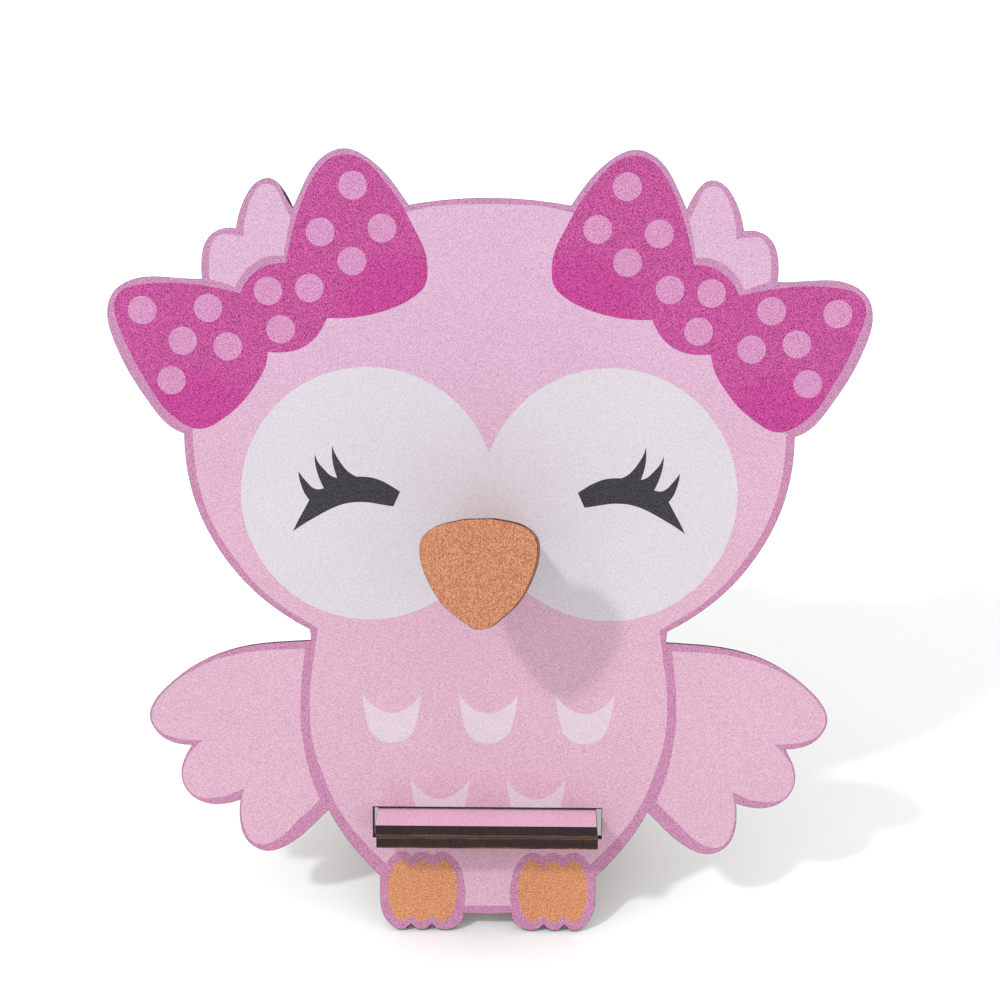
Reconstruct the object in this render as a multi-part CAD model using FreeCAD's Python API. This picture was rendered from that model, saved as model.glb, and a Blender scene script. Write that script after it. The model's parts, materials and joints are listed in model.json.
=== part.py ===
import FreeCAD, Part
import math
import os

# Owl glasses stand, millimetres, +Z up, the owl faces -Y.
# Flat boards are cut with a laser and knock together without tools:
#   the front panel, a two-board base that passes through the panel's low slot,
#   and a nose: a two-board arm with a two-board beak on its end.
# Every piece is drawn in the panel's own frame, with the panel upright:
#   x to the right, z up from the toes, y back from the printed face.
# The whole stand then leans back about the x axis and is set on the ground.

# ---- driving dimensions ----
LEAN = 14.0                # degrees the panel leans back
BOARD = 2.2                # thickness of every laser-cut board
GLUE = 0.15                # glue line between two boards
GLUE_MARGIN = 0.5          # the glue stops this far inside the edges
FIT = 0.05                 # clearance round the nose tenon, each side
OVERCUT = 1.0              # a cutting block runs this far past the board

BASE_WIDTH = 42.6
BASE_SIDE_STEP = -0.2      # it lies this far to one side in its slot
BASE_LEVEL = 22.5          # height of the base boards' middle on the panel
BASE_FRONT = 10.0          # the tongue stands this far out of the printed face
BASE_CORNER = 8.0          # radius of the base's two back corners
BASE_SLIP = 0.2            # the lower board is glued this far out of line
BASE_SLOT_WIDTH = 44.4
BASE_SLOT_BOTTOM = 19.0
BASE_SLOT_TOP = 25.1

ARM_WIDTH = 14.0
ARM_LEVEL = 79.2
TENON_WIDTH = 10.0         # both ends of the arm narrow to this
BEAK_FRONT = 27.0          # the beak's face stands this far off the printed face
BEAK_SIDE_STEP = -1.35     # the beak is glued on this far to one side of the arm
BEAK_TURN = -1.5           # and a little turned, degrees
BEAK_SLIP = (0.45, -0.5)   # its back board is glued out of line with its front board

DOUBLE = 2 * BOARD + GLUE
BEAK_BACK = BEAK_FRONT - DOUBLE
SINE = math.sin(math.radians(LEAN))
COSINE = math.cos(math.radians(LEAN))

# The back edge of the base rests on the ground, level with the panel's back toe edge.
BASE_BACK = BOARD + (BASE_LEVEL - DOUBLE / 2) * COSINE / SINE

# ---- outline of the owl, right half, from the middle of the belly up ----
# Each stretch runs from one sharp corner of the outline to the next.
INNER_TOE = [(4.7, 3.5), (5.3, 1.4), (8.7, 0.0), (11.0, 0.9)]
MIDDLE_TOE = [(11.0, 0.9), (13.0, 0.0), (15.1, 0.9)]
OUTER_TOE = [(15.1, 0.9), (17.4, 0.0), (20.1, 2.2), (21.1, 6.0), (21.1, 11.0)]
FLANK = [(21.1, 11.0), (24.6, 14.8), (28.0, 19.2), (31.1, 24.5)]
LOW_FEATHER = [(31.1, 24.5), (35.0, 20.5), (39.2, 17.2), (43.5, 16.0), (46.9, 17.9),
               (48.4, 22.0), (48.3, 26.4)]
MIDDLE_FEATHER = [(48.3, 26.4), (50.7, 25.7), (53.7, 25.5), (57.0, 26.6), (59.3, 29.4),
                  (59.7, 32.4), (59.0, 34.9), (57.6, 37.5)]
TOP_FEATHER = [(57.6, 37.5), (60.5, 37.8), (62.8, 38.75), (64.6, 40.5), (65.65, 43.25),
               (64.7, 46.35), (62.0, 49.5), (57.6, 53.1), (51.5, 56.15),
               (45.0, 57.8), (39.0, 58.4), (34.2, 58.7)]
NECK = [(34.2, 58.7), (34.4, 60.9)]
CHEEK = [(34.4, 60.9), (39.4, 63.9), (45.6, 69.0), (50.6, 75.0), (54.1, 81.0),
         (56.4, 87.0), (57.7, 93.5), (58.0, 99.3)]
OUTER_LOOP = [(58.0, 99.3), (61.2, 101.1), (64.4, 105.0), (68.2, 111.0), (71.0, 117.2),
              (72.1, 122.6), (70.9, 126.3), (67.2, 128.8), (61.0, 129.3), (54.1, 129.0)]
SMALL_TUFT = [(54.1, 129.0), (54.1, 133.0), (52.6, 137.0), (50.1, 138.5), (47.6, 138.5)]
LARGE_TUFT = [(47.6, 138.5), (47.0, 141.2), (45.5, 144.9), (43.2, 147.5), (41.1, 148.0),
              (38.9, 146.4), (36.8, 142.6)]
INNER_LOOP = [(36.8, 142.6), (34.3, 148.0), (31.3, 152.0), (27.2, 153.65), (22.6, 151.8),
              (18.7, 148.1), (15.2, 143.15)]
HALF_OWL = [INNER_TOE, MIDDLE_TOE, OUTER_TOE, FLANK, LOW_FEATHER, MIDDLE_FEATHER,
            TOP_FEATHER, NECK, CHEEK, OUTER_LOOP, SMALL_TUFT, LARGE_TUFT, INNER_LOOP]
CROWN_RISE = 144.55
BELLY_LOW = 3.3

# ---- outline of the beak, right half, from the tip up, about the arm's level ----
BEAK_TIP = (0.0, -10.8)
BEAK_TOP = (0.0, 10.05)
BEAK_HALF_WIDTH = 10.8
BEAK_SIDE = [(3.2, -9.3), (6.2, -6.7), (8.6, -3.2), (10.1, 0.3), (BEAK_HALF_WIDTH, 4.2),
             (10.35, 6.5), (8.9, 8.1), (6.2, 9.3), (3.3, 9.9)]


def upright(x, z):
    """A point of the panel's front plane."""
    return FreeCAD.Vector(x, 0, z)


def true_box(shape):
    """The tight box, measured on the curves themselves."""
    return shape.optimalBoundingBox(False, False)


def mirrored(points):
    return [(-x, z) for x, z in reversed(points)]


def stretch(points):
    """One edge through the points: a line for two, an arc for three, else a smooth curve."""
    vectors = [upright(x, z) for x, z in points]
    if len(vectors) == 2:
        return Part.LineSegment(*vectors).toShape()
    if len(vectors) == 3:
        return Part.Arc(*vectors).toShape()
    curve = Part.BSplineCurve()
    curve.interpolate(vectors)
    return curve.toShape()


def owl_wire():
    top = HALF_OWL[-1][-1]
    low = HALF_OWL[0][0]
    crown = [top, (0.0, CROWN_RISE), (-top[0], top[1])]
    belly = [(-low[0], low[1]), (0.0, BELLY_LOW), low]
    other_half = [mirrored(points) for points in reversed(HALF_OWL)]
    wire = Part.Wire([stretch(points) for points in HALF_OWL + [crown] + other_half + [belly]])
    # the toes' curves dip a little between their points, so their lowest point is set to zero
    wire.translate(upright(0, -true_box(wire).ZMin))
    return wire


def beak_wire(inset=0.0):
    """The closed round-cornered beak; inset draws it smaller for the glue."""
    halves = []
    for side in (1, -1):
        points = [upright(side * x, z) for x, z in [BEAK_TIP] + BEAK_SIDE + [BEAK_TOP]]
        curve = Part.BSplineCurve()
        curve.interpolate(points, InitialTangent=upright(side, 0), FinalTangent=upright(-side, 0))
        halves.append(curve.toShape())
    wire = Part.Wire(halves)
    if inset:
        middle = upright(0, (BEAK_TIP[1] + BEAK_TOP[1]) / 2)
        wire.scale(1 - inset / BEAK_HALF_WIDTH, middle)
    wire.rotate(upright(0, 0), FreeCAD.Vector(0, 1, 0), BEAK_TURN)
    wire.translate(upright(BEAK_SIDE_STEP, ARM_LEVEL))
    return wire


def upright_plate(wire, front, thickness):
    """A plate parallel to the panel; front is how far its front stands off the printed face."""
    plate = Part.Face(wire).extrude(FreeCAD.Vector(0, thickness, 0))
    plate.translate(FreeCAD.Vector(0, -front, 0))
    return plate


def slab(width, front, back, low, high):
    """A rectangular block centred on x, from front to back along y."""
    corner = FreeCAD.Vector(-width / 2, front, low)
    return Part.makeBox(width, back - front, high - low, corner)


def lean_back(shape):
    """Tip the upright model back and set its back toe edge on the ground."""
    shape.rotate(FreeCAD.Vector(0, 0, 0), FreeCAD.Vector(1, 0, 0), -LEAN)
    shape.translate(FreeCAD.Vector(0, 0, BOARD * SINE))
    return shape


# ---- front panel ----
def front_panel():
    panel = upright_plate(owl_wire(), 0, BOARD)
    front = -OVERCUT
    back = BOARD + OVERCUT
    base_slot = slab(BASE_SLOT_WIDTH, front, back, BASE_SLOT_BOTTOM, BASE_SLOT_TOP)
    half = DOUBLE / 2 + FIT
    nose_slot = slab(TENON_WIDTH + 2 * FIT, front, back, ARM_LEVEL - half, ARM_LEVEL + half)
    return panel.cut(base_slot).cut(nose_slot)


# ---- base: two boards glued face to face ----
def base_board(low, high, margin=0.0):
    """Straight board with square front corners and two round back corners."""
    board = slab(BASE_WIDTH - 2 * margin, margin - BASE_FRONT, BASE_BACK - margin, low, high)
    board.translate(FreeCAD.Vector(BASE_SIDE_STEP, 0, 0))
    back_corners = [edge for edge in board.Edges
                    if edge.Length < 2 * BOARD and edge.CenterOfMass.y > 0]
    return board.makeFillet(BASE_CORNER - margin, back_corners)


def base_lower_board():
    low = BASE_LEVEL - DOUBLE / 2
    board = base_board(low, low + BOARD)
    board.translate(FreeCAD.Vector(BASE_SLIP, 0, 0))
    return board


def base_glue_line():
    low = BASE_LEVEL - GLUE / 2
    return base_board(low, low + GLUE, GLUE_MARGIN)


def base_upper_board():
    high = BASE_LEVEL + DOUBLE / 2
    return base_board(high - BOARD, high)


# ---- nose arm: two boards glued face to face, with a tenon at each end ----
def arm_board(low, high, margin=0.0):
    """Wide between the panel and the beak, narrow where it enters either of them.

    The top keeps one face for the wide part and one for each tenon.
    """
    wide_front = margin - BEAK_BACK
    wide_back = -margin
    wide = slab(ARM_WIDTH - 2 * margin, wide_front, wide_back, low, high)
    tenon_width = TENON_WIDTH - 2 * margin
    front_tenon = slab(tenon_width, wide_front - BOARD, wide_front, low, high)
    back_tenon = slab(tenon_width, wide_back, wide_back + BOARD, low, high)
    return wide.fuse([front_tenon, back_tenon])


def nose_arm_lower_board():
    low = ARM_LEVEL - DOUBLE / 2
    return arm_board(low, low + BOARD)


def nose_arm_glue_line():
    low = ARM_LEVEL - GLUE / 2
    return arm_board(low, low + GLUE, GLUE_MARGIN)


def nose_arm_upper_board():
    high = ARM_LEVEL + DOUBLE / 2
    return arm_board(high - BOARD, high)


# ---- beak: a plain front board over a back board that takes the arm's tenon ----
def beak_front_board():
    return upright_plate(beak_wire(), BEAK_FRONT, BOARD)


def beak_glue_line():
    return upright_plate(beak_wire(GLUE_MARGIN), BEAK_FRONT - BOARD, GLUE)


def beak_back_board():
    board = upright_plate(beak_wire(), BEAK_BACK + BOARD, BOARD)
    board.translate(upright(*BEAK_SLIP))
    half = DOUBLE / 2
    mortise = slab(TENON_WIDTH, -BEAK_FRONT, 0, ARM_LEVEL - half, ARM_LEVEL + half)
    return board.cut(mortise)


PIECES = [front_panel,
          base_upper_board, base_glue_line, base_lower_board,
          nose_arm_upper_board, nose_arm_glue_line, nose_arm_lower_board,
          beak_front_board, beak_glue_line, beak_back_board]


def main():
    os.makedirs("parts", exist_ok=True)
    solids = {piece.__name__: lean_back(piece()) for piece in PIECES}
    # the origin goes under the middle of the whole stand's box
    whole = true_box(Part.makeCompound(list(solids.values())))
    middle = FreeCAD.Vector(-whole.Center.x, -whole.Center.y, -whole.ZMin)
    for name, solid in solids.items():
        solid.translate(middle)
        solid.exportStep("parts/" + name + ".step")
        print(name, solid.isValid(), len(solid.Solids), round(solid.Volume, 1), true_box(solid))
    print("moved by", middle)


main()
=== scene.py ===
import json
import math

import bpy
import numpy as np
from mathutils import Matrix, Vector, geometry


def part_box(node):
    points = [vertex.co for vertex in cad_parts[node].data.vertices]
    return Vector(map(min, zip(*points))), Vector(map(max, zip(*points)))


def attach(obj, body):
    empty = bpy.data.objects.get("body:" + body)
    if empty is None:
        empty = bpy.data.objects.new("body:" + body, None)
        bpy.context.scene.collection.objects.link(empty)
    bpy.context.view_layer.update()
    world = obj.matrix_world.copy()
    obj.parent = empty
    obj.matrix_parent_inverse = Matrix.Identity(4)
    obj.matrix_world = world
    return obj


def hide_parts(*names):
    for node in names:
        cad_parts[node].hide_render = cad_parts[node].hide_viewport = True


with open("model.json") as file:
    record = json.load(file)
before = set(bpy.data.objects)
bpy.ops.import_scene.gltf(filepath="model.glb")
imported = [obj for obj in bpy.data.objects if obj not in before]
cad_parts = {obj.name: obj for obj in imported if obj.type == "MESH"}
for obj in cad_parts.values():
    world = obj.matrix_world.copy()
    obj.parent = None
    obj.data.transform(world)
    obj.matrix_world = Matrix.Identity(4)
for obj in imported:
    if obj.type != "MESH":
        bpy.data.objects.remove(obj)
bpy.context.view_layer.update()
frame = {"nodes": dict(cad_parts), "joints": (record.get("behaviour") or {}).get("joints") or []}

# Owl glasses stand. The boards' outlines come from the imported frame; the print, the charred
# edges and the glue are made here. Sizes are in millimetres unless a name says otherwise.

MM = 0.001
BOARD = 2.2                # thickness of a board
CHAMFER = 0.06             # worn rim of every board
TAPER = 0.4                # the laser cuts the far side of an outline this much smaller
MITRE_LIMIT = 0.4          # keeps an inward step short at a sharp corner
CURVE_STEP = 0.5           # spacing of the points along a printed curve
SAME_LEVEL = 0.001         # how far a board's flat side may be from flat
SAME_PLACE_DIGITS = 7      # corners that agree to this many digits of a metre are one corner
MERGE_DISTANCE = 1e-5      # how near two points of a triangulation may be before they are one
SHARP_ANGLE = math.radians(30)

# The base slides straight back through the panel, so its axis tells how the panel leans.
AXES = {joint["name"]: Vector(joint["axis"]) for joint in frame["joints"]}
RIGHT = Vector((1, 0, 0))
BACK = AXES["base_slide"]
FRONT = -BACK
UP = RIGHT.cross(BACK)
# The lowest line of the printed face, which heights on the panel are counted from.
TOE_LINE = Vector((0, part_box("front_panel")[0].y, FRONT.z * BOARD * MM))


def panel_point(x, z, out=0.0):
    """A place in metres from panel millimetres: right, up from the toes, out from the print."""
    return TOE_LINE + (RIGHT * x + UP * z + FRONT * out) * MM


# ---------------------------------------------------------------- flat outlines

def smooth(points):
    """A natural cubic curve through the points, without its last point."""
    points = np.array(points, float)
    if len(points) == 2:
        return points[:1]
    chords = np.linalg.norm(np.diff(points, axis=0), axis=1)
    knots = np.concatenate([[0], np.cumsum(chords)])
    count = len(points)
    system = np.eye(count)
    slopes = np.diff(points, axis=0) / chords[:, None]
    target = np.zeros((count, 2))
    for i in range(1, count - 1):
        system[i, i - 1:i + 2] = chords[i - 1], 2 * (chords[i - 1] + chords[i]), chords[i]
        target[i] = 6 * (slopes[i] - slopes[i - 1])
    bend = np.linalg.solve(system, target)
    place = np.linspace(0, knots[-1], max(2, round(knots[-1] / CURVE_STEP) + 1))[:-1]
    i = np.searchsorted(knots, place, side="right") - 1
    h = chords[i][:, None]
    a = (knots[i + 1] - place)[:, None]
    b = (place - knots[i])[:, None]
    return ((bend[i] * a**3 + bend[i + 1] * b**3) / (6 * h)
            + (points[i] / h - bend[i] * h / 6) * a
            + (points[i + 1] / h - bend[i + 1] * h / 6) * b)


def closed(*stretches):
    """A closed outline of stretches from corner to corner, each starting where the last ended."""
    starts = [stretch[0] for stretch in stretches]
    ends = starts[1:] + starts[:1]
    return np.vstack([smooth(stretch if stretch[-1] == end else stretch + [end])
                      for stretch, end in zip(stretches, ends)])


def polygon(*corners):
    return np.array(corners, float)


def ellipse(x, z, half_width, half_height):
    count = round(2 * math.pi * half_width / CURVE_STEP)
    turn = np.arange(count) * 2 * math.pi / count
    return np.stack([x + half_width * np.cos(turn), z + half_height * np.sin(turn)], axis=1)


def mirrored(outline):
    return outline[::-1] * (-1, 1)


def both(outline):
    return [outline, mirrored(outline)]


def flipped(stretch):
    return [(-x, z) for x, z in reversed(stretch)]


def inside(points, outline):
    """Which of the points lie inside a closed outline."""
    x, z = points[:, :1], points[:, 1:]
    ax, az = outline.T
    bx, bz = np.roll(outline, -1, axis=0).T
    crossed = (az > z) != (bz > z)
    rise = np.where(bz == az, 1, bz - az)
    return (crossed & (x < ax + (z - az) * (bx - ax) / rise)).sum(axis=1) % 2 == 1


# ---------------------------------------------------------------- the owl's print
# Right half, in panel millimetres. Whatever no region covers is the mauve border.

HALF_HEAD_AND_BODY = [
    [(0, 143.45), (5, 143.35), (10, 143.0), (15.5, 141.9)],
    [(15.5, 141.9), (30, 130)],
    [(30, 130), (43, 121)],
    [(43, 121), (50, 112)],
    [(50, 112), (55.5, 101.5)],
    [(55.5, 101.5), (56.4, 99.8)],
    [(56.4, 99.8), (56.3, 97), (56.05, 93.7), (54.9, 87.5), (52.6, 81.3), (49.3, 75.8),
     (44.7, 69.9), (38.4, 64.6), (34.0, 61.9), (32.9, 61.2)],
    [(32.9, 61.2), (33.75, 55), (34.45, 50), (34.6, 46), (34.5, 42), (34.0, 38), (33.25, 35),
     (31.5, 30), (30.0, 26.3), (28.4, 23.5), (25.9, 20.0), (22.9, 16.6), (20.0, 13.6)],
    [(20.0, 13.6), (12, 9)],
    [(12, 9), (6, 5.1)],
    [(6, 5.1), (0, 5.0)],
]
LEFT_HEAD_AND_BODY = [flipped(stretch) for stretch in reversed(HALF_HEAD_AND_BODY)]
HEAD_AND_BODY = closed(*HALF_HEAD_AND_BODY, *LEFT_HEAD_AND_BODY)

WING = closed(
    [(32.8, 26.7), (35.0, 24.3), (37.5, 21.9), (40.0, 19.3), (42.0, 18.0), (43.8, 17.35),
     (45.4, 17.5), (46.9, 19.0), (47.7, 20.8), (48.15, 23.5), (48.0, 26.5), (47.5, 28.8)],
    [(47.5, 28.8), (49.3, 28.0), (51, 27.25), (53, 26.9), (55, 26.8), (57.2, 27.3), (58.6, 28.7),
     (59.3, 30.3), (59.4, 32), (58.8, 34.4), (57.6, 36.4), (55.5, 38.5)],
    [(55.5, 38.5), (58.5, 38.6), (61, 39.0), (63, 39.8), (64.5, 41.1), (65.25, 42.95),
     (65.0, 44.85), (63.5, 47.3), (61.2, 49.75), (58.5, 51.8), (55.5, 53.5), (52.5, 54.85),
     (49, 55.8), (44.5, 56.6), (40, 56.9), (35.4, 57.1)],
    [(35.4, 57.1), (36.2, 50), (36.4, 46), (36.4, 42), (35.9, 38), (35.4, 35), (34.05, 30)],
)

TUFTS = closed(
    [(37.3, 140.6), (38.3, 142.7), (39.5, 145.4), (40.4, 146.6), (41.6, 147.0), (42.9, 146.7),
     (44, 145.4), (45, 143.4), (45.65, 141.2), (46.05, 139), (46.15, 137.0)],
    [(46.15, 137.0), (47.6, 137.3), (49.2, 137.5), (50.7, 137.3), (51.8, 136.2), (52.55, 134.4),
     (52.75, 132), (52.7, 129.0)],
    [(52.7, 129.0), (50.2, 128.3), (47.9, 127.4)],
    [(47.9, 127.4), (46.7, 129.7), (44.4, 132), (41.65, 133.3), (38.65, 133.5)],
    [(38.65, 133.5), (38.1, 137), (37.3, 140.6)],
)

BOW = closed(
    [(30.65, 121.65), (26.5, 121.75), (22, 122.5), (18, 123.75), (14.3, 125.75), (12.15, 128),
     (11.65, 131), (12, 134), (14, 138.5), (16.5, 143.2), (20, 148), (23.5, 151.5), (27.3, 152.6),
     (30, 151.75), (32, 149.75), (34, 146.5), (36, 141.5), (37.3, 137), (38.3, 132.15)],
    [(38.3, 132.15), (41, 131.9), (43.5, 130.75), (45.8, 128.5), (47, 126.4)],
    [(47, 126.4), (54, 127.75), (60, 128.25), (65, 128), (68.8, 127), (70.3, 125.5),
     (70.8, 123.5), (70, 120), (67.5, 114), (64.5, 108.5), (61.5, 104), (58.5, 101.5),
     (55.5, 100.25), (53.5, 100.5), (50.5, 102.25), (47, 105.25), (44.5, 108.5), (42.5, 112),
     (41.8, 115.1)],
    [(41.8, 115.1), (37.5, 115.25), (34.5, 116.5), (32, 119), (30.65, 121.65)],
)
BOW_DOT = 2.7
BOW_DOTS = [(25.65, 146.8), (20.2, 138.8), (31.75, 138.0), (25.85, 132.55), (33.9, 127.4),
            (41.7, 126.8), (39.4, 119.5), (53.05, 123.5), (65.5, 123.0), (57.95, 117.2),
            (49.45, 116.15), (60.2, 109.6)]

EYE = ellipse(23.0, 87.7, 24.35, 24.7)

LASHES = closed(
    [(16.95, 88.25), (18.45, 89.25), (20.45, 90.35), (22.45, 91), (25.25, 91.15)],
    [(25.25, 91.15), (26.05, 91.55), (27.45, 92.75), (28.65, 94.45), (29.45, 95.95),
     (29.85, 97.25)],
    [(29.85, 97.25), (29.9, 95.25), (29.75, 93.75), (29.4, 92.25), (28.95, 90.85)],
    [(28.95, 90.85), (30.05, 91.25), (31.25, 92.35), (32.45, 93.75), (32.95, 94.75),
     (33.2, 95.55)],
    [(33.2, 95.55), (33.2, 94.35), (32.95, 92.75), (32.35, 90.75), (31.5, 88.85)],
    [(31.5, 88.85), (32.65, 88.6), (33.65, 88.95), (34.65, 89.95), (35.65, 91.15), (36.35, 92.15)],
    [(36.35, 92.15), (36.25, 91.15), (35.85, 89.55), (35.25, 87.95), (34.3, 86.55)],
    [(34.3, 86.55), (35.25, 84.75), (36.45, 82.55), (37.5, 80.35)],
    [(37.5, 80.35), (35.65, 81.65), (33.35, 83.05), (31.45, 84.15), (29.45, 85.15),
     (27.45, 85.85), (25.45, 86.15), (22.95, 86.1), (20.45, 85.7), (18.25, 85.35)],
    [(18.25, 85.35), (16.95, 88.25)],
)

CRESCENT = closed(
    [(-5.65, 4.0), (-4.75, 2.6), (-3.5, 1.4), (-2.3, 0.65), (0, 0), (2.3, 0.65), (3.5, 1.4),
     (4.75, 2.6), (5.65, 4.0)],
    [(5.65, 4.0), (5.5, 1.9), (5.3, 0.7), (4.65, -2.3), (3.7, -4.3), (2.4, -5.4), (0, -6.0),
     (-2.4, -5.4), (-3.7, -4.3), (-4.65, -2.3), (-5.3, 0.7), (-5.5, 1.9), (-5.65, 4.0)],
)
CRESCENT_ROWS = [(44.3, (-18.7, 0, 18.7)), (26.95, (-9.35, 9.35))]
CRESCENTS = [CRESCENT + (x, z) for z, row in CRESCENT_ROWS for x in row]

FOOT = closed(
    [(4.8, 4.3), (4.35, 6.5), (4.45, 9), (5.0, 12), (6.2, 14.4), (7.6, 15.7), (9.0, 16.1),
     (10.1, 15.8), (10.8, 15.25)],
    [(10.8, 15.25), (11.8, 15.9), (12.9, 16.05), (14.0, 15.8), (14.85, 15.25)],
    [(14.85, 15.25), (15.9, 15.95), (17.0, 16.1), (18.3, 15.6), (19.3, 14.6), (20.3, 12.8)],
    [(20.3, 12.8), (15, 4)],
    [(15, 4), (4.8, 4.3)],
)

TOES = closed(
    [(10.95, 3.15), (9.9, 2.0), (8.8, 1.75), (7.6, 2.7), (6.4, 5.2), (5.95, 8.5), (6.2, 11.2),
     (7.0, 13.2), (8.1, 14.3), (9.0, 14.45), (10.0, 13.9), (11.0, 12.75)],
    [(11.0, 12.75), (11.9, 14.0), (12.85, 14.4), (13.8, 14.0), (14.85, 12.7)],
    [(14.85, 12.7), (15.7, 14.0), (16.7, 14.4), (17.8, 13.9), (18.9, 12.2), (19.6, 9.2),
     (19.5, 6.2), (18.7, 3.5), (17.4, 1.9), (16.2, 1.8), (14.85, 3.15)],
    [(14.85, 3.15), (13.9, 2.0), (12.85, 1.75), (11.9, 2.1), (10.95, 3.15)],
)

# Near-black ink beside cuts: laser burn beside the left tuft, painted shade round the base's slot
# and painted shadow of the gaps under the toes.
SLOT_PAINTED_SHADE = polygon((-22.5, 18.95), (-22.5, 25.34), (22.28, 25.34), (22.28, 18.95))
TUFT_SCORCH = closed(
    [(-39.6, 147.1), (-38.95, 146.15), (-38.5, 145.1), (-37.95, 144.05), (-37.4, 143.1),
     (-36.8, 142.3)],
    [(-36.8, 142.3), (-36.75, 143.4)],
    [(-36.75, 143.4), (-37.5, 147.0)],
    [(-37.5, 147.0), (-39.6, 147.1)],
)

# Painted shadow of the gap under the panel between the toes.
TOE_GAP_PAINTED_SHADOW = polygon((-0.9, -0.3), (-0.9, 0.4), (0, 1.25), (0.9, 0.4), (0.9, -0.3))
TOE_GAPS = (-15.1, -11.0, 11.0, 15.1)
TOE_PAINTED_SHADOWS = [TOE_GAP_PAINTED_SHADOW + (x, 0) for x in TOE_GAPS]

OWL_PRINT = [
    ("ink_pink", [HEAD_AND_BODY] + both(WING) + both(TUFTS)),
    ("ink_magenta", both(BOW)),
    ("ink_dot", [ellipse(side * x, z, BOW_DOT, BOW_DOT) for x, z in BOW_DOTS for side in (1, -1)]),
    ("ink_eye", both(EYE)),
    ("ink_lash", both(LASHES)),
    ("ink_crescent", CRESCENTS),
    ("ink_mauve", both(FOOT)),
    # The toes' orange is painted lighter than the beak's, as painted light.
    ("ink_foot_with_painted_light", both(TOES)),
    # Near-black ink: laser burn at the tuft, painted shade at the slot and the toes.
    ("scorch_and_painted_shade", [SLOT_PAINTED_SHADE, TUFT_SCORCH] + TOE_PAINTED_SHADOWS),
]


# ---------------------------------------------------------------- materials

LIGHT_ON_BOARD = 1.45      # how bright a pure white board shows in the studio light
SPECKLE_SIZE = 0.11        # the print's grain, finer from side to side
SPECKLE_STRETCH = (0.5, 1, 1)
SPECKLE_CONTRAST = 4.8
WARM_LEVEL = 70            # the pinks are warm up to this height on the panel
COOL_LEVEL = 125           # and cool from this height up
BOW_FOLDS = [(17.0, 123.0, 7.5, 7.0), (55.0, 100.0, 8.0, 6.0)]     # x, z, radius, soft rim
CHAR_WANDER = 0.44         # how far the char's bands wander, as a share of the thickness
RIB_STRETCH = 8            # how much longer than wide the beam's ribs are


def srgb(red, green, blue):
    """The base colour that shows as these 0 to 255 values in the studio light."""
    def linear(value):
        value /= 255
        return value / 12.92 if value <= 0.04045 else ((value + 0.055) / 1.055) ** 2.4
    return tuple(linear(value) / LIGHT_ON_BOARD for value in (red, green, blue)) + (1,)


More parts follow.
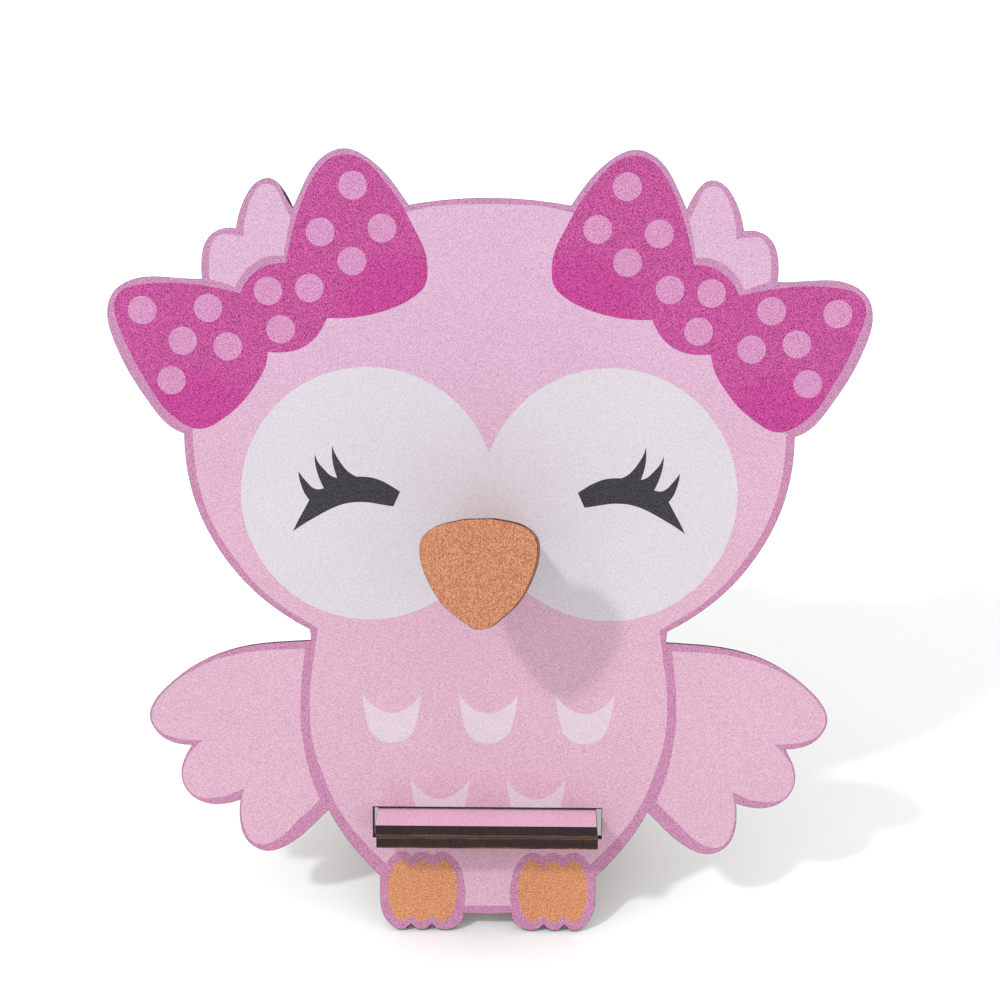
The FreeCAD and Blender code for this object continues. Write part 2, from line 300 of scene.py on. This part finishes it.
class Surface:
    """A material and short ways to add and join its nodes."""

    def __init__(self, name):
        self.material = bpy.data.materials.new(name)
        self.material.use_nodes = True
        self.tree = self.material.node_tree
        self.shader = self.tree.nodes["Principled BSDF"]
        self.place = self.add("ShaderNodeTexCoord").outputs["Object"]

    def add(self, kind, **settings):
        node = self.tree.nodes.new(kind)
        for key, value in settings.items():
            setattr(node, key, value)
        return node

    def join(self, source, target):
        self.tree.links.new(source, target)

    def noise(self, size_mm, detail=2.0, stretch=(1, 1, 1), roughness=0.5, distortion=0.0):
        """Noise from 0 to 1 in lumps about size_mm across, longer where stretch is over 1."""
        turn = self.add("ShaderNodeMapping", vector_type="TEXTURE")
        turn.inputs["Rotation"].default_value = (-math.asin(FRONT.z), 0, 0)
        turn.inputs["Scale"].default_value = stretch
        self.join(self.place, turn.inputs["Vector"])
        noise = self.add("ShaderNodeTexNoise")
        noise.inputs["Scale"].default_value = 1 / (2 * size_mm * MM)
        noise.inputs["Detail"].default_value = detail
        noise.inputs["Roughness"].default_value = roughness
        noise.inputs["Distortion"].default_value = distortion
        self.join(turn.outputs["Vector"], noise.inputs["Vector"])
        return noise.outputs["Fac"]

    def ramp(self, value, *stops):
        """A colour ramp; each stop is a place and a colour."""
        ramp = self.add("ShaderNodeValToRGB")
        elements = ramp.color_ramp.elements
        while len(elements) < len(stops):
            elements.new(0.5)
        for element, (place, colour) in zip(elements, stops):
            element.position = place
            element.color = colour
        self.join(value, ramp.inputs["Fac"])
        return ramp.outputs["Color"]

    def maths(self, operation, *values):
        node = self.add("ShaderNodeMath", operation=operation)
        for value, socket in zip(values, node.inputs):
            if isinstance(value, bpy.types.NodeSocket):
                self.join(value, socket)
            else:
                socket.default_value = value
        return node.outputs[0]

    def panel_side_and_height(self):
        """How far a spot is from the panel's middle line and from its toes, in metres."""
        split = self.add("ShaderNodeSeparateXYZ")
        self.join(self.place, split.inputs[0])
        rise = self.add("ShaderNodeVectorMath", operation="DOT_PRODUCT")
        self.join(self.place, rise.inputs[0])
        rise.inputs[1].default_value = UP
        return (self.maths("ABSOLUTE", split.outputs["X"]),
                self.maths("SUBTRACT", rise.outputs["Value"], TOE_LINE.dot(UP)))

    def fade(self, value, start_mm, end_mm):
        """Goes softly from 0 to 1 while a length goes from start to end."""
        fade = self.add("ShaderNodeMapRange", interpolation_type="SMOOTHSTEP")
        self.join(value, fade.inputs["Value"])
        fade.inputs["From Min"].default_value = start_mm * MM
        fade.inputs["From Max"].default_value = end_mm * MM
        return fade.outputs["Result"]

    def patch(self, side, height, x, z, radius, softness):
        """1 within a radius of a place of the print and of its mirror image, with a soft rim."""
        spot = self.add("ShaderNodeCombineXYZ")
        self.join(side, spot.inputs["X"])
        self.join(height, spot.inputs["Y"])
        reach = self.add("ShaderNodeVectorMath", operation="DISTANCE")
        self.join(spot.outputs[0], reach.inputs[0])
        reach.inputs[1].default_value = (x * MM, z * MM, 0)
        return self.fade(reach.outputs["Value"], radius + softness, radius)

    def blend(self, share, first, second, how="MIX"):
        mix = self.add("ShaderNodeMix", data_type="RGBA", blend_type=how)
        # The node has sockets of the same names for numbers and colours, so these go by place.
        sockets = mix.inputs[0], mix.inputs[6], mix.inputs[7]
        for value, socket in zip((share, first, second), sockets):
            if isinstance(value, bpy.types.NodeSocket):
                self.join(value, socket)
            else:
                socket.default_value = value
        return mix.outputs[2]

    def bump(self, height, depth_mm, strength):
        bump = self.add("ShaderNodeBump")
        bump.inputs["Distance"].default_value = depth_mm * MM
        bump.inputs["Strength"].default_value = strength
        self.join(height, bump.inputs["Height"])
        self.join(bump.outputs["Normal"], self.shader.inputs["Normal"])

    def finish(self, colour, roughness, specular):
        self.join(colour, self.shader.inputs["Base Color"])
        self.shader.inputs["Roughness"].default_value = roughness
        self.shader.inputs["Specular IOR Level"].default_value = specular
        return self.material


def grey(value):
    return (value, value, value, 1)


def speckled(colour, swing):
    """A darker and a lighter colour, swing apart from a colour given as 0 to 255 values."""
    return [srgb(*[max(value + change, 1) for value in colour]) for change in (-swing, swing)]


def print_on(surface, dark, light):
    """Matt ink on hardboard: fine orange-peel speckle from dark to light, a slow mottle."""
    speckle = surface.noise(SPECKLE_SIZE, detail=1.0, stretch=SPECKLE_STRETCH)
    cloud = surface.noise(7.0)
    share = surface.maths("MULTIPLY_ADD", speckle, SPECKLE_CONTRAST, 0.5 - SPECKLE_CONTRAST / 2)
    slow = surface.ramp(cloud, (0.3, grey(0.985)), (0.7, grey(1.015)))
    tint = surface.blend(1.0, surface.blend(share, dark, light), slow, "MULTIPLY")
    surface.bump(speckle, depth_mm=0.03, strength=0.3)
    return surface.finish(tint, roughness=0.6, specular=0.3)


def ink(name, colour, swing):
    return print_on(Surface(name), *speckled(colour, swing))


def warming_ink(name, high, low, swing):
    """An ink that turns a little warmer from the forehead down."""
    surface = Surface(name)
    _, height = surface.panel_side_and_height()
    rise = surface.fade(height, WARM_LEVEL, COOL_LEVEL)
    return print_on(surface, *[surface.blend(rise, below, above) for below, above
                               in zip(speckled(low, swing), speckled(high, swing))])


def bow_ink(name, colour, deep, swing):
    """The bows' magenta, deeper in the folds of both loops."""
    surface = Surface(name)
    side, height = surface.panel_side_and_height()
    folds = surface.maths("MAXIMUM", *[surface.patch(side, height, *fold) for fold in BOW_FOLDS])
    return print_on(surface, *[surface.blend(folds, plain, rich) for plain, rich
                               in zip(speckled(colour, swing), speckled(deep, swing))])


def charred_edge(name, thickness_axis, *stops):
    """A laser-cut edge, finely ribbed along the beam.

    Each stop is a share of the thickness, counted from the printed side, and its colour there.
    """
    surface = Surface(name)
    along = tuple(RIB_STRETCH if axis == thickness_axis else 1 for axis in "xyz")
    ribs = surface.noise(0.12, stretch=along)
    patches = surface.noise(1.3, detail=4.0, stretch=(2.5, 1, 1), roughness=0.65)
    depth = surface.add("ShaderNodeAttribute", attribute_name="depth").outputs["Fac"]
    wander = surface.maths("MULTIPLY_ADD", patches, CHAR_WANDER, depth)
    burn = surface.ramp(surface.maths("SUBTRACT", wander, CHAR_WANDER / 2), *stops)
    rib_shade = surface.ramp(ribs, (0.3, grey(0.8)), (0.7, grey(1.25)))
    surface.bump(ribs, depth_mm=0.05, strength=0.6)
    tint = surface.blend(1.0, burn, rib_shade, "MULTIPLY")
    return surface.finish(tint, roughness=0.75, specular=0.1)


def bare_board(name):
    """The unprinted side of hardboard: brown felted fibres with a few dark and pale flecks."""
    surface = Surface(name)
    cloud = surface.noise(11.0, detail=3.0)
    felt = surface.noise(0.5, detail=6.0, roughness=0.75, distortion=1.5)
    flecks = surface.noise(0.6, stretch=(2.5, 1, 1), distortion=2.0)
    base = surface.ramp(cloud, (0.3, srgb(139, 101, 72)), (0.7, srgb(156, 117, 85)))
    felt_shade = surface.ramp(felt, (0.3, grey(0.78)), (0.5, grey(1.0)), (0.7, grey(1.2)))
    fleck_shade = surface.ramp(flecks, (0.24, grey(0.7)), (0.33, grey(1.0)), (0.68, grey(1.0)),
                               (0.76, grey(1.3)))
    felted = surface.blend(1.0, base, felt_shade, "MULTIPLY")
    tint = surface.blend(1.0, felted, fleck_shade, "MULTIPLY")
    surface.bump(felt, depth_mm=0.04, strength=0.5)
    return surface.finish(tint, roughness=0.75, specular=0.25)


def dried_glue(name):
    """Yellowed wood glue with soot in it."""
    surface = Surface(name)
    soot = surface.noise(0.6, detail=3.0)
    tint = surface.ramp(soot, (0.35, srgb(92, 66, 48)), (0.65, srgb(140, 108, 76)))
    surface.bump(soot, depth_mm=0.05, strength=0.6)
    return surface.finish(tint, roughness=0.4, specular=0.5)


CHAR = srgb(56, 43, 45)
SINGED = srgb(72, 50, 44)
SEAM_BROWN = srgb(112, 80, 66)
FIBRE_BROWN = srgb(150, 104, 76)

MATERIALS = {
    "ink_mauve": warming_ink("ink_mauve", (201, 138, 180), (200, 134, 172), 32),
    "ink_pink": warming_ink("ink_pink", (223, 181, 210), (225, 180, 202), 23),
    # The base's pink print, painted lighter than the panel's pink: painted light standing in for
    # stronger light from above on its upward face.
    "ink_base_with_painted_light": ink("ink_base_with_painted_light", (254, 201, 226), 20),
    "ink_magenta": bow_ink("ink_magenta", (187, 57, 140), (188, 36, 136), 52),
    "ink_dot": ink("ink_dot", (213, 144, 190), 31),
    "ink_eye": ink("ink_eye", (226, 218, 226), 14),
    "ink_lash": ink("ink_lash", (46, 43, 51), 30),
    "ink_crescent": ink("ink_crescent", (230, 210, 222), 15),
    "ink_beak": ink("ink_beak", (202, 131, 92), 34),
    # The toes' orange, painted lighter than the beak's same orange: painted light that lifts the
    # shade on the feet by the floor and under the tongue.
    "ink_foot_with_painted_light": ink("ink_foot_with_painted_light", (217, 145, 98), 34),
    # Near-black: laser burn beside the left tuft, painted shade round the base's slot and between
    # the toes.
    "scorch_and_painted_shade": ink("scorch_and_painted_shade", (42, 30, 36), 8),
    "upright_edge": charred_edge("upright_edge", "y", (0, CHAR), (0.7, CHAR), (1, SINGED)),
    "over_edge": charred_edge("over_edge", "z", (0, CHAR), (0.75, CHAR), (0.9, SEAM_BROWN)),
    "under_edge": charred_edge("under_edge", "z", (0, SEAM_BROWN), (0.15, CHAR), (0.7, CHAR),
                               (0.92, SINGED), (1, FIBRE_BROWN)),
    "bare_board": bare_board("bare_board"),
    "dried_glue": dried_glue("dried_glue"),
}


# ---------------------------------------------------------------- boards

def cut_outlines(node, normal):
    """The outlines of a CAD board's flat side that faces along normal, as points in metres."""
    mesh = frame["nodes"][node].data
    height = [vertex.co.dot(normal) for vertex in mesh.vertices]
    level = max(height) - SAME_LEVEL * MM
    corners = [tuple(round(value, SAME_PLACE_DIGITS) for value in vertex.co)
               for vertex in mesh.vertices]
    sides = set()
    for face in mesh.polygons:
        if all(height[index] > level for index in face.vertices):
            ring = [corners[index] for index in face.vertices]
            sides.update(zip(ring, ring[1:] + ring[:1]))
    following = {start: end for start, end in sides if (end, start) not in sides}
    return chained(following)


def chained(following):
    """Closed loops from a dictionary of what follows what."""
    loops = []
    while following:
        loop = [min(following)]
        while loop[-1] in following:
            loop.append(following.pop(loop[-1]))
        loops.append(loop[:-1])
    return loops


def triangulated(outlines, curves=()):
    """Triangles that fill flat outlines, their edges following the curves too.

    Gives the points, the triangles, their middles, and for each point the given point it was.
    """
    points = []
    edges = []
    for line in [*outlines, *curves]:
        start = len(points)
        count = len(line)
        points += [Vector(point) for point in line]
        edges += [(start + i, start + (i + 1) % count) for i in range(count)]
    every_triangle = 0
    points, _, triangles, sources, _, _ = geometry.delaunay_2d_cdt(
        points, edges, [], every_triangle, MERGE_DISTANCE, True)
    points = np.array([tuple(point) for point in points])
    triangles = np.array(triangles)
    sources = np.array([source[0] if source else -1 for source in sources])
    centres = points[triangles].mean(axis=1)
    filled = sum(inside(centres, np.array(outline)).astype(int) for outline in outlines) % 2 == 1
    triangles = triangles[filled]
    used = np.unique(triangles)
    renumber = np.zeros(len(points), int)
    renumber[used] = range(len(used))
    return points[used], renumber[triangles], centres[filled], sources[used]


def rim_loops(triangles):
    """The boundary loops of a sheet of triangles, as lists of point numbers."""
    sides = {(t[i], t[(i + 1) % 3]) for t in triangles.tolist() for i in range(3)}
    return chained({start: end for start, end in sides if (end, start) not in sides})


def inward(loop_points):
    """One unit towards the inside for each point of a loop, whose inside is on its left."""
    ahead = np.roll(loop_points, -1, axis=0) - loop_points
    ahead /= np.linalg.norm(ahead, axis=1)[:, None]
    behind = np.roll(ahead, 1, axis=0)
    left = np.stack([-ahead[:, 1], ahead[:, 0]], axis=1)
    left_behind = np.stack([-behind[:, 1], behind[:, 0]], axis=1)
    middle = left + left_behind
    return middle / np.maximum((middle * left).sum(axis=1), MITRE_LIMIT)[:, None]


def is_outer(loop_points):
    """True for the outline of a board, false for that of a hole, which runs clockwise."""
    x, z = loop_points.T
    return (x * np.roll(z, -1) - z * np.roll(x, -1)).sum() > 0


def board(name, node, body, normal, plain, edge, print_regions=(), taper=0.0):
    """A laser-cut board in place of a CAD node: print in front, bare behind, charred edges.

    normal points out of the front, which is plain apart from the regions of print.
    The far side of the outer edge is cut smaller by taper, as a laser leaves it, except where
    the edge faces down: the owl stands on its toes' back edge.
    """
    outlines = cut_outlines(node, normal)
    up = normal.cross(RIGHT)
    origin = Vector(outlines[0][0])
    origin = TOE_LINE + normal * (origin - TOE_LINE).dot(normal)
    flat = [[((Vector(p) - origin).dot(RIGHT) / MM, (Vector(p) - origin).dot(up) / MM)
             for p in loop] for loop in outlines]
    heights = [vertex.co.dot(normal) for vertex in frame["nodes"][node].data.vertices]
    thickness = (max(heights) - min(heights)) / MM

    curves = [outline for _, group in print_regions for outline in group]
    points, triangles, centres, _ = triangulated(flat, curves)
    slots = [plain] + [ink_name for ink_name, _ in print_regions]
    inks = np.zeros(len(triangles), int)
    for number, (_, group) in enumerate(print_regions, start=1):
        for outline in group:
            inks[inside(centres, outline)] = number

    verts = [(x, y, 0.0) for x, y in points]
    faces = triangles.tolist()
    kinds = inks.tolist()
    edge_kind = len(slots)
    back_kind = edge_kind + 1
    back_loops = []
    for loop in rim_loops(triangles):
        rim = points[loop]
        towards = inward(rim)
        shrink = np.clip(1 - towards[:, 1:], 0, 1) * (taper if is_outer(rim) else 0)
        for index, spot in zip(loop, rim + towards * CHAMFER):
            verts[index] = (*spot, 0.0)
        rings = [loop]
        for step, depth in ((0, CHAMFER), (shrink, thickness - CHAMFER),
                            (shrink + CHAMFER, thickness)):
            ring = range(len(verts), len(verts) + len(loop))
            verts += [(*spot, -depth) for spot in rim + towards * step]
            rings.append(ring)
        for upper, lower in zip(rings, rings[1:]):
            for i in range(len(loop)):
                j = (i + 1) % len(loop)
                faces.append([upper[i], lower[i], lower[j], upper[j]])
                kinds.append(edge_kind)
        back_loops.append(list(rings[-1]))

    flat_back = [[verts[index][:2] for index in loop] for loop in back_loops]
    order = [index for loop in back_loops for index in loop]
    _, back_triangles, _, sources = triangulated(flat_back)
    for triangle in back_triangles.tolist():
        faces.append([order[sources[corner]] for corner in reversed(triangle)])
        kinds.append(back_kind)

    places = [origin + (RIGHT * x + up * y + normal * z) * MM for x, y, z in verts]
    mesh = bpy.data.meshes.new(name)
    mesh.from_pydata(places, [], faces)
    for slot_name in slots + [edge, "bare_board"]:
        mesh.materials.append(MATERIALS[slot_name])
    mesh.polygons.foreach_set("material_index", kinds)
    depth = mesh.attributes.new("depth", "FLOAT", "POINT")
    depth.data.foreach_set("value", [-z / thickness for _, _, z in verts])
    mesh.shade_smooth()
    mesh.set_sharp_from_angle(angle=SHARP_ANGLE)
    piece = bpy.data.objects.new(name, mesh)
    bpy.context.scene.collection.objects.link(piece)
    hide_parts(node)
    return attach(piece, body)


board("owl_panel", "front_panel", "panel", FRONT, "ink_mauve", "upright_edge",
      OWL_PRINT, TAPER)
# The base's top pink is painted lighter, as painted light from above.
board("base_top_board", "base_upper_board", "base", UP, "ink_base_with_painted_light", "over_edge")
board("base_bottom_board", "base_lower_board", "base", UP, "bare_board", "under_edge")
board("arm_top_board", "nose_arm_upper_board", "nose", UP, "ink_beak", "over_edge")
board("arm_bottom_board", "nose_arm_lower_board", "nose", UP, "bare_board",
      "under_edge")
board("beak_face_board", "beak_front_board", "nose", FRONT, "ink_beak",
      "upright_edge", taper=TAPER)
board("beak_rear_board", "beak_back_board", "nose", FRONT, "ink_beak",
      "upright_edge", taper=TAPER)
for glue_node in ("base_glue_line", "nose_arm_glue_line", "beak_glue_line"):
    frame["nodes"][glue_node].data.materials.clear()
    frame["nodes"][glue_node].data.materials.append(MATERIALS["dried_glue"])


# ---------------------------------------------------------------- floor, light, camera

FLOOR_SIZE = 8.0                            # metres
FLOOR_TINTS = ((0.3, (0.862, 0.873, 0.88, 1)), (0.7, (0.882, 0.893, 0.9, 1)))
PANEL_MIDDLE = 86.6                         # a height on the panel
KEY_LIGHT_PLACE = (-610, PANEL_MIDDLE + 795, 1000)      # to the left, above and in front
KEY_LIGHT_WIDTH = 4.5                       # degrees
KEY_LIGHT_STRENGTH = 1.25
WORLD_LIGHT_STRENGTH = 1.15
CAMERA_TARGET = (2.116, 86.761)             # on the printed face
CAMERA_DISTANCE = 600.0
CAMERA_ABOVE = math.radians(12.69)          # above the panel's own normal
CAMERA_BESIDE = math.radians(0.68)
CAMERA_ROLL = math.radians(0.23)
LENS = 113.22
SENSOR_WIDTH = 36
NEAR_CLIP = 0.01                            # metres


def stage_floor():
    bpy.ops.mesh.primitive_plane_add(size=FLOOR_SIZE)
    floor = bpy.context.object
    floor.name = "floor"
    surface = Surface("floor_paper")
    cloud = surface.noise(40.0)
    tint = surface.ramp(cloud, *FLOOR_TINTS)
    floor.data.materials.append(surface.finish(tint, roughness=0.9, specular=0.1))


def aim(thing, place, target, roll=0.0):
    """Point a lamp or the camera at a target, with the panel's upward direction up."""
    ahead = (target - place).normalized()
    up = (UP - ahead * UP.dot(ahead)).normalized()
    right = ahead.cross(up)
    turned_right = right * math.cos(roll) + up * math.sin(roll)
    turned_up = up * math.cos(roll) - right * math.sin(roll)
    turn = Matrix((turned_right, turned_up, -ahead)).transposed().to_4x4()
    thing.matrix_world = Matrix.Translation(place) @ turn


def sunlight(place, target, width_degrees, strength):
    """A far, broad lamp that lights everything evenly from place towards target."""
    light = bpy.data.lights.new("key_light", "SUN")
    light.angle = math.radians(width_degrees)
    light.energy = strength
    holder = bpy.data.objects.new("key_light", light)
    bpy.context.scene.collection.objects.link(holder)
    aim(holder, place, target)


def camera():
    target = panel_point(*CAMERA_TARGET)
    offset = (RIGHT * math.sin(CAMERA_BESIDE) * math.cos(CAMERA_ABOVE)
              + UP * math.sin(CAMERA_ABOVE)
              + FRONT * math.cos(CAMERA_BESIDE) * math.cos(CAMERA_ABOVE))
    view = bpy.data.cameras.new("camera")
    view.lens = LENS
    view.sensor_width = SENSOR_WIDTH
    view.clip_start = NEAR_CLIP
    holder = bpy.data.objects.new("camera", view)
    bpy.context.scene.collection.objects.link(holder)
    aim(holder, target + offset * CAMERA_DISTANCE * MM, target, CAMERA_ROLL)
    bpy.context.scene.camera = holder


def world_light(strength):
    world = bpy.data.worlds.new("studio")
    world.use_nodes = True
    background = world.node_tree.nodes["Background"]
    background.inputs["Color"].default_value = (1, 1, 1, 1)
    background.inputs["Strength"].default_value = strength
    bpy.context.scene.world = world


stage_floor()
sunlight(panel_point(*KEY_LIGHT_PLACE), panel_point(0, PANEL_MIDDLE), KEY_LIGHT_WIDTH,
         KEY_LIGHT_STRENGTH)
world_light(WORLD_LIGHT_STRENGTH)
camera()
bpy.context.scene.view_settings.view_transform = "Standard"
